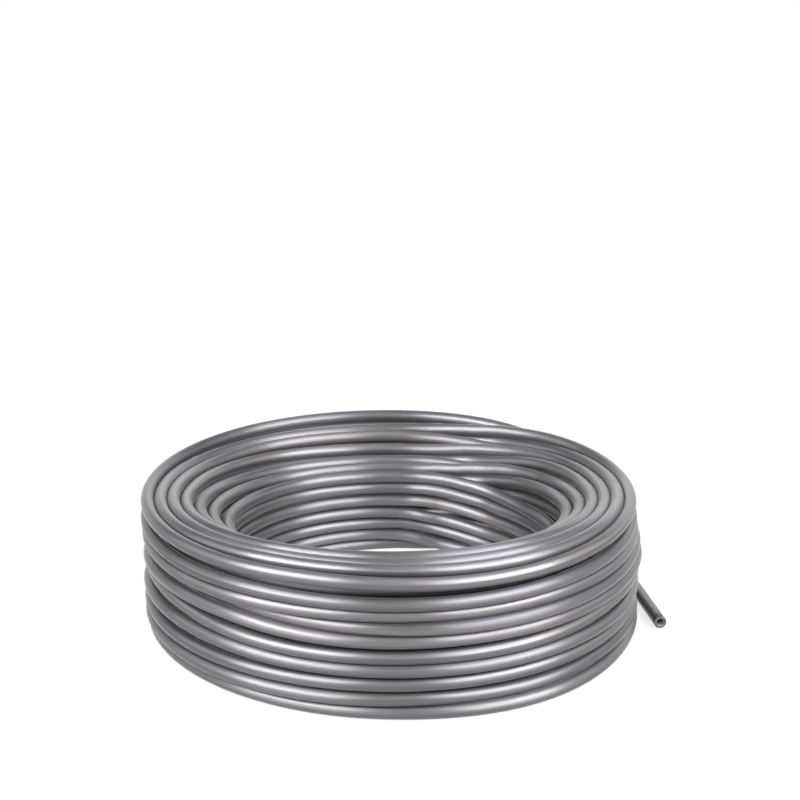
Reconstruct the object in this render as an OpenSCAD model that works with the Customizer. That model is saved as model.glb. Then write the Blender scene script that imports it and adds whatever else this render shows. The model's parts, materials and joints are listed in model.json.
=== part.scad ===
// A free-standing coil of pneumatic tubing, lying flat on one end.
// The tubing is wound without a spool. Its outermost turn runs out over the floor and ends in a square cut.
// Millimetres, +Z up. The origin is on the coil's axis, at the level that the coil lies on.

/* [Tubing] */
// Outer diameter of the tube
tube_od = 8; // [6:0.5:10]
// Diameter of the tube's bore
tube_id = 5; // [3:0.25:5.5]

/* [Winding] */
// Clear width through the middle of the coil
coil_bore = 200; // [160:1:260]
// Number of layers, from the middle outwards
layers = 7; // [4:1:9]
// Number of turns in the outermost layer, one above another
rows = 10; // [8:1:14]
// Play between turns that lie against each other
turn_play = 0.06; // [0.04:0.01:0.2]
// Extra space where the outermost layer has slipped open between two bundles
bundle_gap = 2; // [0.5:0.25:4]
// How much lower the winding is at its bore than on its outside
bore_drop = 20; // [0:1:24]
// How many turns fewer the innermost layer has than the outermost
fewer_at_bore = 3; // [2:1:4]

/* [Free end] */
// How far the free end lies along the outside of the coil, in degrees
end_wrap = 65.5; // [20:0.5:120]
// Where it runs on straight, in degrees behind the coil's right side
end_angle = 9.5; // [-20:0.5:60]
// How much wider it curls than the turn that it comes off, as a radius
end_curl = 2.5; // [2:0.5:20]
// Length of the straight stretch, up to its cut
end_straight = 54; // [20:1:90]
// Space between the free end and the turn beside it, where it comes off
end_clearance = 0.3; // [0.1:0.05:1]

/* [Hidden] */
$fn = 96;

// The lowest turn of each bundle above the first: two turns, then three, then four, then the rest
BUNDLE_STARTS = [2, 5, 9];

tube_r = tube_od / 2;
turn_pitch = tube_od + turn_play;
// The core stands a little outside the turns' centres, so that each crevice has a floor
core_reach = tube_r * 0.375;

inner_layer = 0;
outer_layer = layers - 1;
bottom_row = 0;
top_row = rows - 1;

function layer_r(j) = coil_bore / 2 + tube_r + j * turn_pitch;

// Heights in the outermost layer
function bundles_below(i) = len([for (start = BUNDLE_STARTS) if (i >= start) start]);
function row_z(i) = tube_r + i * turn_pitch + bundles_below(i) * bundle_gap;

// Height of the uppermost turn in each layer: level outside, and falling away faster towards the bore
function top_z(j) = row_z(top_row) - bore_drop * pow((outer_layer - j) / outer_layer, 2);

// The innermost layer lies loose: its turns share out the space from the floor to its uppermost one
inner_rows = rows - fewer_at_bore;
inner_pitch = (top_z(inner_layer) - tube_r) / (inner_rows - 1);

module turn(r, z) {
    translate([r, z])
        circle(d = tube_od);
}

// Section of the turns that show, each a full circle
module turn_sections() {
    for (j = [inner_layer:outer_layer]) {
        turn(layer_r(j), tube_r);
        turn(layer_r(j), top_z(j));
    }
    for (i = [bottom_row + 1:top_row - 1])
        turn(layer_r(outer_layer), row_z(i));
    for (i = [1:inner_rows - 2])
        turn(layer_r(inner_layer), tube_r + i * inner_pitch);
}

// Section of the hidden turns, as one block
module core_section() {
    low = tube_r - core_reach;
    near = layer_r(inner_layer) - core_reach;
    far = layer_r(outer_layer) + core_reach;
    polygon(concat(
        [[near, low], [far, low], [far, top_z(outer_layer) + core_reach]],
        [for (j = [outer_layer - 1:-1:inner_layer + 1]) [layer_r(j), top_z(j) + core_reach]],
        [[near, top_z(inner_layer) + core_reach]]
    ));
}

// The wound tubing as one turned solid, open through the middle
module wound_coil() {
    color("silver")
        rotate_extrude()
            union() {
                core_section();
                turn_sections();
            }
}

// Section of the tube's wall
module wall_section() {
    difference() {
        circle(d = tube_od);
        circle(d = tube_id);
    }
}

end_r = layer_r(outer_layer) + tube_od + end_clearance;
curl_r = end_r + end_curl;

// Lies on the floor, and leaves the lowest outer turn little by little
module curled_stretch() {
    rotate_extrude(angle = end_wrap)
        translate([curl_r, tube_r])
            wall_section();
}

// Runs on from it at a tangent
module straight_stretch() {
    translate([curl_r, 0, tube_r])
        rotate([90, 0, 0])
            linear_extrude(height = end_straight)
                wall_section();
}

// The loose end of the tube, open at its cut
module free_end() {
    color("silver")
        rotate([0, 0, end_angle])
            translate([-end_curl * cos(end_wrap), -end_curl * sin(end_wrap), 0])
                union() {
                    curled_stretch();
                    straight_stretch();
                }
}

wound_coil();
free_end();
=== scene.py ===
# %% [markdown]
# # A coil of pneumatic tubing
#
# The real object is one fifty metre length of grey plastic tube for compressed air. It was wound by
# machine, layer on layer, slipped off its former and laid flat on the floor. No spool, band or wrap
# holds it: its own stiffness does, so the turns have slipped a little and the coil is not quite true.
#
# A lathe shape with grooves would be the quick way to model it, but no groove of such a shape ever
# crosses another. Here the tube is one line that is really wound, turn by turn, and then let settle.

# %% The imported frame
import json
import math

import bmesh
import bpy
import numpy as np
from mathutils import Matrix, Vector


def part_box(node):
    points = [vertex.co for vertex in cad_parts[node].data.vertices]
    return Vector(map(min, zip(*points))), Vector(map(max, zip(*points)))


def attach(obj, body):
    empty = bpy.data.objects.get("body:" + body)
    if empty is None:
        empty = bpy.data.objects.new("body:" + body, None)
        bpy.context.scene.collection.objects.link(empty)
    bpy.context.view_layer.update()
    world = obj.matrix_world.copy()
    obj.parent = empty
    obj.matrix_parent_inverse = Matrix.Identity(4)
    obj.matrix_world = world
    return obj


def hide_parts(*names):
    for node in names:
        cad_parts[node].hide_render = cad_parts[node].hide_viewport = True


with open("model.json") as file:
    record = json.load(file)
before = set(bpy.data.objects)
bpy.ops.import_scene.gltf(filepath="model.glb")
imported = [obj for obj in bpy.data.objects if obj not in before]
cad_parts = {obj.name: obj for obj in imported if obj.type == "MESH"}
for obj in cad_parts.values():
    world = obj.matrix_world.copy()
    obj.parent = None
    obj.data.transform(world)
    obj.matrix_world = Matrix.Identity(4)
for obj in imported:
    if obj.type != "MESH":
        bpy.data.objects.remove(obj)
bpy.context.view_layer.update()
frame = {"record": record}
coil_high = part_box("wound_coil")[1]
end_low, end_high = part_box("free_end")
mounts = {mount["name"]: mount for mount in frame["record"]["mounts"]}

# %% [markdown]
# ## Sizes
#
# The frame gives the outside of the coil, the thickness of the tube, its bore and the place of its
# cut end. The rest follows, because a wound tube has no other sizes: a turn lies one tube beside the
# next. So the winding below is worked out in tube diameters, which also keeps it easy to picture.

# %% Sizes from the frame
TUBE = end_high[2] - end_low[2]
TUBE_R = TUBE / 2
WALL = TUBE_R - mounts["tube_bore"]["dims"]["r_mm"] / 1000
COIL_R = coil_high[0]
COIL_H = coil_high[2]
COIL_TUBES = COIL_R / TUBE
print(f"tube {1000 * TUBE:.1f} mm, wall {1000 * WALL:.1f} mm, coil radius {COIL_TUBES:.2f} tubes")

# %% [markdown]
# ## The camera
#
# It stands in front of the coil and a little above it, about eight coil radii away, with a longer
# lens than the eye's. It is aimed a few degrees above the coil, which leaves the coil low in the
# frame and keeps the sensor unshifted.

# %% Camera
CAMERA_AWAY = 8 * COIL_R
CAMERA_HEIGHT_ANGLE = math.radians(22.1)
CAMERA_AIM_ABOVE = math.radians(4.33)
CAMERA_ASIDE = 0.57 * TUBE
CAMERA_LENS = 87.7


def make_camera():
    camera = bpy.data.objects.new("camera", bpy.data.cameras.new("camera"))
    bpy.context.scene.collection.objects.link(camera)
    camera.location = (
        CAMERA_ASIDE,
        -CAMERA_AWAY * math.cos(CAMERA_HEIGHT_ANGLE),
        CAMERA_AWAY * math.sin(CAMERA_HEIGHT_ANGLE) + COIL_H / 2,
    )
    camera.rotation_euler = (math.pi / 2 - CAMERA_HEIGHT_ANGLE + CAMERA_AIM_ABOVE, 0, 0)
    camera.data.lens = CAMERA_LENS
    camera.data.sensor_width = 36
    bpy.context.scene.camera = camera
    return camera


camera = make_camera()
print("camera at", [round(value, 3) for value in camera.location])

# %% [markdown]
# ## The order of the turns
#
# A winding machine fills a layer from one end to the other and starts the next one on its way back.
# So the layers are wound downwards and upwards by turns, and the last one ends at the bottom, where
# the free end comes out. Near the bore the layers are lower: those turns have slid down since.
#
# Two lists hold the whole order: the layer of each turn, and its row counted from the floor.

# %% Layers and rows
TURNS_IN_LAYER = [7, 7, 8, 10, 10, 9, 10]  # from the bore outwards
LAYERS = len(TURNS_IN_LAYER)
OUTSIDE = LAYERS - 1
PITCH = 1.0075  # from one layer to the next, in tube diameters

layer_of = np.repeat(np.arange(LAYERS), TURNS_IN_LAYER)
row_of = np.concatenate(
    [np.arange(n)[:: -1 if layer % 2 == OUTSIDE % 2 else 1] for layer, n in enumerate(TURNS_IN_LAYER)]
)
TURNS = len(layer_of)
print(TURNS, "turns in", LAYERS, "layers, the last row is", row_of[-1])

# %% [markdown]
# ## Where each turn wants to lie
#
# Seen from above, each turn is cut into 96 steps round the clock. At every step it has a distance
# from the axis and a height, so the whole winding is two tables of numbers, one line for each turn.
#
# In front, the outermost layer has slipped open into bundles of two, three, four and one. Behind, its
# rows lie closer to evenly, and a smooth blend leads from the one list of heights to the other. The
# layers inside stand high in front and low behind. All this is only a wish: the turns settle later.

# %% Distances and heights
STEPS = 96
SEAM = math.radians(-22)  # where each line of the tables begins, on the right side
ON_FLOOR = 0.5  # the height of a tube's middle when it lies on the floor
FRONT_LEVELS = [0.6, 1.3, 2.55, 3.7, 4.7, 6.05, 6.95, 7.85, 8.75, 10.3]  # of the outer rows, in tubes
BACK_LEVELS = [0.5, 1.5, 2.5, 3.7, 4.7, 5.7, 7.0, 8.0, 9.25, 10.27]
LEAN = 0.1  # the outer rows lie so much higher on the left, and lower on the right
TOP = 10.3
FRONT = (-165, -15)  # from the left side to the right side, in degrees
FRONT_FADE = 25
BORE_DROP = 2.5  # the inner layers' tops lie lower by up to this
SWAY = 1.5  # they stand higher in front and lower behind by up to this
SWAY_FALLS_OFF = 0.75  # at 1 the sway would fade out at the bore, and here most of it is left

clock = SEAM - 2 * math.pi * (np.arange(STEPS) + 0.5) / STEPS
depth = (OUTSIDE - np.arange(LAYERS)) / OUTSIDE  # 0 on the outside, 1 at the bore
layer_r = COIL_TUBES - 0.5 - PITCH * (OUTSIDE - np.arange(LAYERS))
layer_top = TOP - BORE_DROP * depth**2
layer_sway = SWAY * np.sin(SWAY_FALLS_OFF * math.pi * depth)


def smooth(share):
    share = np.clip(share, 0, 1)
    return share * share * (3 - 2 * share)


def in_front():
    """1 on the front of the coil, fading to 0 behind it."""
    middle = sum(FRONT) / 2
    half = (FRONT[1] - FRONT[0]) / 2
    off = np.degrees(np.abs((clock - math.radians(middle) + math.pi) % (2 * math.pi) - math.pi))
    return 1 - smooth((off - half) / FRONT_FADE)


def wished_heights(layer, row):
    if layer == OUTSIDE:
        behind = BACK_LEVELS[row]
        return behind + in_front() * (FRONT_LEVELS[row] - behind) - LEAN * np.cos(clock)
    top = layer_top[layer] - layer_sway[layer] * np.sin(clock)
    return ON_FLOOR + (top - ON_FLOOR) * row / (TURNS_IN_LAYER[layer] - 1)


radii = np.repeat(layer_r[layer_of][:, None], STEPS, axis=1)
heights = np.array([wished_heights(layer, row) for layer, row in zip(layer_of, row_of)])
print("layer radii in tubes:", layer_r.round(2), "tops:", layer_top.round(2))

# %% [markdown]
# ## Turns that have slipped
#
# On a coil that was handled, some turns stand proud or have sunk in over part of the way round. Each
# line below is one such slip: which layer and row, in which direction, how wide in degrees, and how
# far up and out, in tube diameters. A bell curve fades it in and out. On the right side, at 0 degrees,
# three middle rows stand out together, and behind, the tops of four layers have sunk.
#
# The upper rows have also slid sideways as a whole, the more the higher they lie.

# %% Slips
SLIPS = [
    # layer counted from outside, row, direction, width, up, out
    (0, 0, -57, 20, -0.1, 0.7),
    (0, 0, -140, 50, 0.15, -0.1),
    (0, 1, -160, 40, 0.1, 0.25),
    (0, 2, -160, 40, 0.0, 0.25),
    (0, 3, -155, 25, 0.35, 0.25),
    (0, 4, -155, 25, 0.9, 0.1),
    (0, 4, -32, 15, 0.2, -0.4),
    (0, 5, -140, 40, 0.55, 0.1),
    (0, 6, -135, 35, 0.3, -0.5),
    (0, 6, -75, 25, 0.0, 0.2),
    (0, 7, -135, 30, 0.15, 0.0),
    (0, 7, -65, 30, 0.0, -0.2),
    (0, 8, -110, 60, 0.1, 0.2),
    (0, 9, -110, 30, 0.15, 0.0),
    (0, 9, -55, 25, -0.1, 0.0),
    (0, 9, 0, 40, 0.0, -0.15),
    (0, 4, 2, 18, 0.0, 0.2),
    (0, 5, 0, 20, 0.0, 0.35),
    (0, 6, 4, 20, 0.0, 0.25),
    (0, 2, -8, 22, 0.0, -0.1),
    (1, 7, -108, 16, 0.6, 0.75),
    (1, 8, -110, 35, 0.35, 0.0),
    (1, 8, 95, 45, -0.6, 0.0),
    (2, 8, 95, 45, -0.35, 0.0),
    (2, 9, 95, 45, -0.35, 0.0),
    (3, 8, 95, 45, -0.5, 0.0),
    (3, 9, 95, 45, -0.7, 0.0),
    (4, 7, 95, 45, -0.7, 0.0),
    (4, 6, 95, 45, -0.3, 0.0),
]
TOP_SHIFT = -0.3  # how far the uppermost turns have slid to the right: minus is to the left
SHIFT_FROM = 5.5  # the height at which the slide begins


def bell(direction, width):
    away = (clock - math.radians(direction) + math.pi) % (2 * math.pi) - math.pi
    return np.exp(-((away / math.radians(width)) ** 2))


for layer, row, direction, width, up, out in SLIPS:
    turn = (layer_of == OUTSIDE - layer) & (row_of == row)
    heights[turn] += up * bell(direction, width)
    radii[turn] += out * bell(direction, width)
radii += TOP_SHIFT * smooth((heights - SHIFT_FROM) / (TOP - SHIFT_FROM)) * np.cos(clock)
print(len(SLIPS), "slips")

# %% [markdown]
# ## Stepping from row to row
#
# A turn can't close on itself: somewhere it has to climb or drop to the next row. On a coil like
# this all turns do it on one side, here behind the coil. Each row crosses a few degrees further on
# than the row above it, so the crossings form a slanting seam, which can be seen inside the bore.
#
# Near its crossing each turn is blended with the turn before it or after it. The blend follows a
# smooth S, because a stiff tube can't have a kink.

# %% The crossing
CROSSING_AT = 50  # degrees behind the coil's right side, for the uppermost row of each layer
CROSSING_DRIFT = 6  # each row below crosses so much further back
CROSSING_WIDTH = 36  # degrees

wound = np.degrees(SEAM - clock)
rows_below_top = np.array(TURNS_IN_LAYER)[layer_of] - 1 - row_of
crosses_at = CROSSING_AT + CROSSING_DRIFT * rows_below_top
next_at = (math.degrees(SEAM) - crosses_at[:, None]) % 360
last_at = np.roll(next_at, 1, axis=0) - 360


def blend_at_crossing(table):
    half = CROSSING_WIDTH / 2
    before = 1 - smooth((wound - last_at + half) / CROSSING_WIDTH)
    after = smooth((wound - next_at + half) / CROSSING_WIDTH)
    previous = np.concatenate([table[:1], table[:-1]])
    following = np.concatenate([table[1:], table[-1:]])
    return table * (1 - before - after) + previous * before + following * after


radii = blend_at_crossing(radii)
heights = blend_at_crossing(heights)
print("steepest step in tubes:", abs(np.diff(heights.ravel())).max().round(3))

# %% [markdown]
# ## The free end
#
# Behind the coil the last turn moves out beside its neighbour, touches the floor, uncurls a little
# and runs on straight to its cut. The place and direction of the cut come from the frame's mount for
# a fitting. The arc before it has a slightly wider curl than the coil, so its distance from the axis
# is worked out at each step, as where a ray from the axis meets that arc.

# %% Path of the last turn
END_CLEARANCE = 0.3e-3 / TUBE  # between the free end and the turn beside it
END_CURL = 2.5e-3 / TUBE  # how much wider its arc is than the coil
LEAVES_AT, LIES_FROM = 128, 75  # degrees behind the coil's right side
BEFORE_STRAIGHT = 1  # degrees left free, so that no step lies on the first point of the straight

cut = np.array(mounts["tube_end"]["pos_m"][:2]) / TUBE
heading = np.array(mounts["tube_end"]["axis"][:2])
straight = mounts["tube_end"]["dims"]["length_mm"] / 1000 / TUBE
runs_straight = cut - straight * heading
curl_r = COIL_TUBES + 0.5 + END_CLEARANCE + END_CURL
curl_middle = runs_straight - curl_r * np.array([-heading[1], heading[0]])
straight_from = math.degrees(math.atan2(runs_straight[1], runs_straight[0]))


def curl_distance():
    along = curl_middle[0] * np.cos(clock) + curl_middle[1] * np.sin(clock)
    return along + np.sqrt(curl_r**2 - curl_middle @ curl_middle + along**2)


leaves, lies, ends = [(math.degrees(SEAM) - a) % 360 for a in (LEAVES_AT, LIES_FROM, straight_from)]
let_go = smooth((wound - leaves) / (lies - leaves))
radii[-1] += let_go * (curl_distance() - radii[-1])
heights[-1] += let_go * (ON_FLOOR - heights[-1])

there = np.ones((TURNS, STEPS), bool)
there[-1] = wound < ends - BEFORE_STRAIGHT
movable = np.ones((TURNS, STEPS), bool)
movable[-1] = wound < lies
print(f"straight from {straight_from:.1f} degrees, {straight * TUBE * 1000:.0f} mm long")

# %% [markdown]
# ## Letting the turns settle
#
# The wishes overlap in places, and real tubes can't. A cloth or rope solver would be one way, but
# the turns all run the same way round, so it's enough to look at each of the 96 sections as a heap
# of discs. In every round, discs that overlap push each other apart, each one is drawn weakly back
# to its wish, the floor holds them up, and the tube's stiffness smooths each disc towards those
# before and after it on the same tube. The last rounds only push, so that no overlap is left.

# %% Settling
ROUNDS, STIFF_ROUNDS, WISH_ROUNDS = 300, 260, 250
PUSH = 0.45  # the share of an overlap by which each of its two discs gives way in a round
WISH_PULL = 0.08
STIFFNESS = 0.15
SPACING = 1.004
WANDER_OUT, WANDER_UP = 0.05, 0.07
WANDER_WIDTH = 9
FAR_OFF = 1000  # where discs that aren't part of the tube are put, so that they touch nothing
random = np.random.default_rng(5)


def drift(size, width):
    """Slow wandering along the tube, smoothed over about that many steps."""
    bump = np.exp(-0.5 * (np.arange(-3 * width, 3 * width + 1) / width) ** 2)
    wander = np.convolve(random.standard_normal(TURNS * STEPS), bump, "same")
    return size * (wander / wander.std()).reshape(TURNS, STEPS) * movable


def push_apart(r, z):
    """How far each disc is pushed by the discs that it overlaps, and the deepest overlap."""
    r = np.where(there, r, FAR_OFF)
    dr = r[:, None] - r[None]
    dz = z[:, None] - z[None]
    apart = np.sqrt(dr**2 + dz**2) + 1e-9
    lap = np.maximum(SPACING - apart, 0)
    lap[np.arange(TURNS), np.arange(TURNS)] = 0
    return (lap * dr / apart).sum(axis=1), (lap * dz / apart).sum(axis=1), lap.max()


def stiffen(table):
    line = table.ravel().copy()
    line[1:-1] += STIFFNESS * (line[:-2] - 2 * line[1:-1] + line[2:])
    return np.where(movable, line.reshape(table.shape), table)


radii += drift(WANDER_OUT, WANDER_WIDTH)
heights += drift(WANDER_UP, WANDER_WIDTH)
wished_r, wished_z = radii.copy(), heights.copy()
for turn_round in range(ROUNDS):
    out, up, deepest = push_apart(radii, heights)
    radii = radii + PUSH * out * movable
    heights = np.maximum(heights + PUSH * up * movable, ON_FLOOR)
    if turn_round < WISH_ROUNDS:
        radii += WISH_PULL * (wished_r - radii) * movable
        heights += WISH_PULL * (wished_z - heights) * movable
    if turn_round < STIFF_ROUNDS:
        radii, heights = stiffen(radii), stiffen(heights)
print(f"deepest overlap {1000 * TUBE * max(deepest - SPACING + 1, 0):.3f} mm")

# %% [markdown]
# ## The line of the tube
#
# The two tables, read row by row, are one line in space. Turns that show keep all their steps, and
# turns hidden inside the coil every second one, which halves their faces and can't be seen. The
# straight stretch follows at the end.

# %% The centreline
FULL_DEPTH = 2  # turns below the top that can be seen through the gaps
STRAIGHT_STEPS = 8

shows = (layer_of == OUTSIDE) | (layer_of == 0) | (row_of == 0) | (rows_below_top < FULL_DEPTH)
kept = there & (shows[:, None] | (np.arange(STEPS) % 2 == 0))
winding = np.stack([radii * np.cos(clock), radii * np.sin(clock), heights], axis=-1)[kept]
share = np.linspace(0, 1, STRAIGHT_STEPS)[:, None]
seen_from_above = runs_straight + share * (cut - runs_straight)
last_stretch = np.hstack([seen_from_above, np.full((STRAIGHT_STEPS, 1), ON_FLOOR)])
line = np.concatenate([winding, last_stretch]) * TUBE
along = np.concatenate([[0], np.cumsum(np.linalg.norm(np.diff(line, axis=0), axis=1))])
print(len(line), f"points, {along[-1]:.2f} m of tube")

# %% [markdown]
# ## The tube
#
# A curve with a round bevel is Blender's own way to make a tube: it carries a circle along the line
# and keeps it upright. It's turned into a mesh afterwards, because the cut ends need a wall and a
# bore, and a curve can't have these.

# %% Tube from a bevelled curve
BEVEL_RESOLUTION = 8
SIDES = 4 + 2 * BEVEL_RESOLUTION


def sweep_tube():
    curve = bpy.data.curves.new("tube_line", "CURVE")
    curve.dimensions = "3D"
    curve.twist_mode = "Z_UP"
    curve.bevel_depth = TUBE_R
    curve.bevel_resolution = BEVEL_RESOLUTION
    spline = curve.splines.new("POLY")
    spline.points.add(len(line) - 1)
    spline.points.foreach_set("co", np.hstack([line, np.ones((len(line), 1))]).ravel())
    carrier = bpy.data.objects.new("tube_line", curve)
    bpy.context.scene.collection.objects.link(carrier)
    mesh = bpy.data.meshes.new_from_object(carrier)
    bpy.data.objects.remove(carrier)
    tube = bpy.data.objects.new("tubing", mesh)
    bpy.context.scene.collection.objects.link(tube)
    return tube


tube = sweep_tube()
print(len(tube.data.polygons), "faces round a line of", len(line), "points")

# %% [markdown]
# ## A map that follows the tube
#
# The finish of an extruded tube runs along it: fine draw lines, and slow changes of tone from one
# metre to the next. So the mesh gets a UV map in metres, across the tube's round and along its
# length. The curve made its rings one after the other, so a corner's ring and side follow from the
# number of its vertex. On the last face of each ring the map has to run on and not jump back.

# %% UV map in metres
def map_along_tube(mesh):
    corner = np.empty(len(mesh.loops), int)
    mesh.loops.foreach_get("vertex_index", corner)
    ring, side = np.divmod(corner.reshape(-1, 4), SIDES)
    closing = side.max(axis=1) - side.min(axis=1) > 1
    side = np.where(closing[:, None] & (side == 0), SIDES, side)
    round_tube = side / SIDES * math.pi * TUBE
    layer = mesh.uv_layers.new(name="tube_map")
    layer.data.foreach_set("uv", np.stack([round_tube, along[ring]], axis=-1).ravel())
    layer.active = True
    layer.active_render = True


for layer in list(tube.data.uv_layers):
    tube.data.uv_layers.remove(layer)
map_along_tube(tube.data)
print("map layers:", [layer.name for layer in tube.data.uv_layers])

# %% [markdown]
# ## The cut ends
#
# A knife leaves a flat ring with a hole in it. The open end is closed with one face, that face is
# inset by the wall and pushed into the tube in a few steps, which makes the bore. Two narrow bevels
# take the razor edge off the rim, so that it catches a line of light.
#
# Faces that the pushing has made are those which weren't there before it. They get the second
# material: a matt one whose lighter colour is painted light, standing in for the light that comes
# through the thin grey wall into the bore.

# %% Cut ends
RIM_BEVEL = 0.2e-3
# The bore's material has painted light: its lighter colour stands in for light through the wall.
OUTSIDE_FINISH, BORE_PAINTED_LIGHT_FINISH = 0, 1  # the order of the tube's two materials


def cut_end(mesh_data, ring, steps):
    """Closes the tube at that ring and hollows it out along the steps."""
    mesh_data.verts.ensure_lookup_table()
    rim = mesh_data.verts[ring * SIDES : (ring + 1) * SIDES]
    outer_edges = [edge for vert in rim for edge in vert.link_edges if edge.is_boundary]
    outer_edges = list(dict.fromkeys(outer_edges))
    cap = bmesh.ops.contextual_create(mesh_data, geom=outer_edges)["faces"][0]
    inset = bmesh.ops.inset_region(mesh_data, faces=[cap], thickness=WALL, use_even_offset=True)
    for face in inset["faces"]:
        face.smooth = False
    inner_edges = list(cap.edges)
    before = set(mesh_data.faces)
    for step in steps:
        pushed = bmesh.ops.extrude_discrete_faces(mesh_data, faces=[cap])["faces"][0]
        bmesh.ops.translate(mesh_data, vec=Vector(step), verts=pushed.verts)
        cap = pushed
    for face in set(mesh_data.faces) - before:
        face.material_index = BORE_PAINTED_LIGHT_FINISH
    bmesh.ops.bevel(
        mesh_data,
        geom=outer_edges + inner_edges,
        offset=RIM_BEVEL,
        affect="EDGES",
        segments=2,
        profile=0.5,
        material=-1,
    )


mesh_data = bmesh.new()
mesh_data.from_mesh(tube.data)
for face in mesh_data.faces:
    face.smooth = True
first_steps = line[1:4] - line[:3]
last_steps = line[-2:-6:-1] - line[-1:-5:-1]
cut_end(mesh_data, len(line) - 1, last_steps)
cut_end(mesh_data, 0, first_steps)
bmesh.ops.recalc_face_normals(mesh_data, faces=mesh_data.faces)
open_edges = sum(edge.is_boundary for edge in mesh_data.edges)
mesh_data.to_mesh(tube.data)
mesh_data.free()
tube.data.calc_loop_triangles()
print(len(tube.data.loop_triangles), "triangles,", open_edges, "open edges")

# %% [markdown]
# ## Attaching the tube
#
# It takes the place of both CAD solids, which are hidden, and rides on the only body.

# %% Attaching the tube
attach(tube, "root")
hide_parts("wound_coil", "free_end")

# %% [markdown]
# ## Grey extruded plastic
#
# The tube is a hard, silver-grey plastic with a fine metallic pigment, so its shader is mostly
# metallic: that keeps its body dark and its highlights bright. The die has drawn fine lines along it.
# They blur reflections across the tube much more than along it, which is what anisotropy does, and
# for this the shader gets a tangent from the tube's map. A little sheen stands for the dust that lifts
# grazing edges and the crevices between the turns.
#
# The rest is change along and across the tube: long streaks that go from a cool to a warm grey, and
# patches where turns have rubbed on each other. All of it reads the map, so it bends with the tube.
#
# Inside the bore nothing has polished the plastic. It is plain and matt there, and catches more of
# the light that falls in. Its colour is also painted lighter than the outside's, which stands in for
# the light that comes through the thin grey wall into the bore.

# %% Tubing material
# Repeats in a metre, across the tube and along it
STREAKS = (240, 2.5)
RUB_MARKS = (160, 14)
DRAW_LINES = (700, 2)
# Painted light: the bore is coloured lighter than the outside, for light that comes through the wall.
BORE_PAINTED_LIGHT_COLOUR = (0.21, 0.205, 0.215, 1)


def node(tree, kind, **settings):
    made = tree.nodes.new(kind)
    for name, value in settings.items():
        if hasattr(made, name):
            setattr(made, name, value)
        else:
            made.inputs[name.replace("_", " ")].default_value = value
    return made


def stretched_noise(tree, source, scale, **settings):
    """Noise on the tube's map, scaled across and along."""
    mapping = node(tree, "ShaderNodeMapping")
    mapping.inputs["Scale"].default_value = (*scale, 1)
    tree.links.new(source, mapping.inputs["Vector"])
    noise = node(tree, "ShaderNodeTexNoise", Scale=1.0, **settings)
    tree.links.new(mapping.outputs["Vector"], noise.inputs["Vector"])
    return noise.outputs["Fac"]


def ramp(tree, source, *stops):
    made = node(tree, "ShaderNodeValToRGB")
    elements = made.color_ramp.elements
    while len(elements) < len(stops):
        elements.new(0.5)
    for element, (place, colour) in zip(elements, stops):
        element.position = place
        element.color = (*colour, 1)
    tree.links.new(source, made.inputs["Fac"])
    return made.outputs["Color"]


def tubing_material():
    material = bpy.data.materials.new("grey_tubing")
    material.use_nodes = True
    tree = material.node_tree
    shader = tree.nodes["Principled BSDF"]
    shader.inputs["IOR"].default_value = 1.5
    shader.inputs["Metallic"].default_value = 0.85
    shader.inputs["Sheen Weight"].default_value = 0.25
    shader.inputs["Sheen Roughness"].default_value = 0.25
    shader.inputs["Anisotropic"].default_value = 0.85
    round_tube = node(tree, "ShaderNodeTangent", direction_type="UV_MAP", uv_map="tube_map")
    tree.links.new(round_tube.outputs["Tangent"], shader.inputs["Tangent"])
    tube_map = node(tree, "ShaderNodeUVMap", uv_map="tube_map").outputs["UV"]

    tone = stretched_noise(tree, tube_map, STREAKS, Detail=3.0, Roughness=0.6)
    colour = ramp(
        tree,
        tone,
        (0.30, (0.092, 0.090, 0.104)),
        (0.50, (0.130, 0.125, 0.137)),
        (0.70, (0.185, 0.167, 0.174)),
    )
    tree.links.new(colour, shader.inputs["Base Color"])

    rubbing = stretched_noise(tree, tube_map, RUB_MARKS, Detail=4.0, Roughness=0.6)
    roughness = ramp(tree, rubbing, (0.35, (0.34,) * 3), (0.75, (0.42,) * 3))
    tree.links.new(roughness, shader.inputs["Roughness"])

    draw_lines = stretched_noise(tree, tube_map, DRAW_LINES, Detail=3.0)
    bump = node(tree, "ShaderNodeBump", Strength=0.3, Distance=0.0002)
    tree.links.new(draw_lines, bump.inputs["Height"])
    tree.links.new(bump.outputs["Normal"], shader.inputs["Normal"])
    return material


# Matt, and painted lighter than the outside: painted light for what comes through the grey wall.
def painted_light_bore_material():
    material = bpy.data.materials.new("matt_bore_painted_light")
    material.use_nodes = True
    shader = material.node_tree.nodes["Principled BSDF"]
    shader.inputs["Base Color"].default_value = BORE_PAINTED_LIGHT_COLOUR
    shader.inputs["Roughness"].default_value = 0.6
    return material


finishes = {OUTSIDE_FINISH: tubing_material(), BORE_PAINTED_LIGHT_FINISH: painted_light_bore_material()}
for place in sorted(finishes):
    tube.data.materials.append(finishes[place])
print("materials:", [material.name for material in tube.data.materials])

# %% [markdown]
# ## Floor
#
# The floor is a wide disc whose rim rises into a backdrop. For rays that look for a background it
# shines with a strength of 1, which is white, and for all others it is a plain grey that throws some
# light back. Glossy and transmission rays count as looking too, so that the tube mirrors the white.
#
# Near the coil a quarter of what is seen is the floor's real shading. That keeps the coil's shadow.

# %% Background rays
def background_rays(tree):
    """1 for rays that look for the background: the camera's own, and mirrored or refracted ones."""
    rays = node(tree, "ShaderNodeLightPath")
    seen = rays.outputs["Is Camera Ray"]
    for name in ("Is Glossy Ray", "Is Transmission Ray"):
        either = node(tree, "ShaderNodeMath", operation="MAXIMUM")
        tree.links.new(seen, either.inputs[0])
        tree.links.new(rays.outputs[name], either.inputs[1])
        seen = either.outputs["Value"]
    return seen


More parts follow.
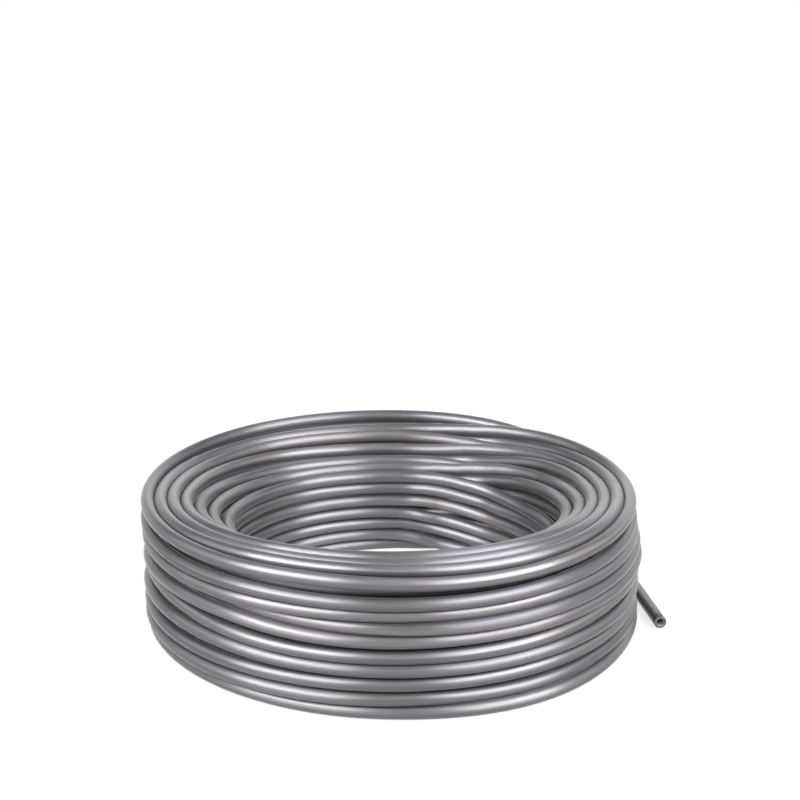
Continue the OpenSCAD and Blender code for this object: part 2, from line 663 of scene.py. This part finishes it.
# %% Floor
FLOOR_R = 9.0
BACKDROP_H = 4.0
BACKDROP_SIDES = 64
FLOOR_COLOUR = (0.6, 0.6, 0.6, 1)
SHADOW_SHARE = 0.25  # of the floor's real shading, near the coil
SHADOW_FROM, SHADOW_TO = 1.3 * COIL_R, 3.0 * COIL_R


def floor_material():
    material = bpy.data.materials.new("white_floor")
    material.use_nodes = True
    tree = material.node_tree
    shaded = tree.nodes["Principled BSDF"]
    shaded.inputs["Base Color"].default_value = FLOOR_COLOUR
    shaded.inputs["Roughness"].default_value = 0.9
    white = node(tree, "ShaderNodeEmission", Strength=1.0)
    place = node(tree, "ShaderNodeTexCoord").outputs["Object"]
    away = node(tree, "ShaderNodeVectorMath", operation="LENGTH")
    tree.links.new(place, away.inputs[0])
    share = node(tree, "ShaderNodeMapRange")
    share.inputs["From Min"].default_value = SHADOW_FROM
    share.inputs["From Max"].default_value = SHADOW_TO
    share.inputs["To Min"].default_value = 1 - SHADOW_SHARE
    share.inputs["To Max"].default_value = 1.0
    tree.links.new(away.outputs["Value"], share.inputs["Value"])
    seen = node(tree, "ShaderNodeMath", operation="MULTIPLY")
    tree.links.new(background_rays(tree), seen.inputs[0])
    tree.links.new(share.outputs["Result"], seen.inputs[1])
    mix = node(tree, "ShaderNodeMixShader")
    tree.links.new(seen.outputs["Value"], mix.inputs["Fac"])
    tree.links.new(shaded.outputs["BSDF"], mix.inputs[1])
    tree.links.new(white.outputs["Emission"], mix.inputs[2])
    tree.links.new(mix.outputs["Shader"], tree.nodes["Material Output"].inputs["Surface"])
    return material


def make_floor():
    mesh = bpy.data.meshes.new("floor")
    mesh_data = bmesh.new()
    bmesh.ops.create_circle(mesh_data, cap_ends=True, segments=BACKDROP_SIDES, radius=FLOOR_R)
    risen = bmesh.ops.extrude_edge_only(mesh_data, edges=mesh_data.edges[:])["geom"]
    rim = [part for part in risen if isinstance(part, bmesh.types.BMVert)]
    bmesh.ops.translate(mesh_data, vec=(0, 0, BACKDROP_H), verts=rim)
    mesh_data.to_mesh(mesh)
    mesh_data.free()
    mesh.materials.append(floor_material())
    floor = bpy.data.objects.new("floor", mesh)
    bpy.context.scene.collection.objects.link(floor)
    return floor


floor = make_floor()
print("floor", 2 * FLOOR_R, "m wide, backdrop", BACKDROP_H, "m high")

# %% [markdown]
# ## Light
#
# Two big soft boxes stand to the left and right of the camera. Each draws a long bright streak along
# every turn, and between the streaks the middle of the coil stays calm, with only a weak box there.
# The other boxes are dim. One lights the tops of the turns from above, one gives their far edges a
# thin line of light from low behind, and two fill the sides.

# %% Lights
LIGHT_AWAY = 1.5
LIGHTS = [
    # name, degrees from the camera's side, height angle, width, length, watts
    ("left_box", -46, 37, 1.3, 0.9, 46),
    ("right_box", 53, 37, 1.35, 0.9, 44),
    ("front_box", 2, 37, 0.6, 0.7, 2.5),
    ("back_box", 160, 24, 2.2, 0.5, 4),
    ("top_box", 90, 70, 1.2, 1.2, 8),
    ("left_fill", -80, 30, 1.6, 0.9, 8),
    ("right_fill", 85, 30, 1.6, 0.9, 8),
]


def soft_box(name, aside, height_angle, width, length, watts):
    light = bpy.data.objects.new(name, bpy.data.lights.new(name, "AREA"))
    bpy.context.scene.collection.objects.link(light)
    light.data.shape = "RECTANGLE"
    light.data.size = width
    light.data.size_y = length
    light.data.energy = watts
    aside, height_angle = math.radians(aside), math.radians(height_angle)
    towards = Vector(
        (
            math.sin(aside) * math.cos(height_angle),
            -math.cos(aside) * math.cos(height_angle),
            math.sin(height_angle),
        )
    )
    light.location = Vector((0, 0, COIL_H / 2)) + LIGHT_AWAY * towards
    light.rotation_euler = towards.to_track_quat("Z", "Y").to_euler()
    return light


for settings in LIGHTS:
    soft_box(*settings)
print(len(LIGHTS), "soft boxes")

# %% World and view
WORLD_STRENGTH = 0.35


def make_world():
    world = bpy.data.worlds.new("studio")
    world.use_nodes = True
    background = world.node_tree.nodes["Background"]
    background.inputs["Color"].default_value = (1, 1, 1, 1)
    background.inputs["Strength"].default_value = WORLD_STRENGTH
    bpy.context.scene.world = world


make_world()
bpy.context.scene.view_settings.view_transform = "Standard"
print("world strength", WORLD_STRENGTH)
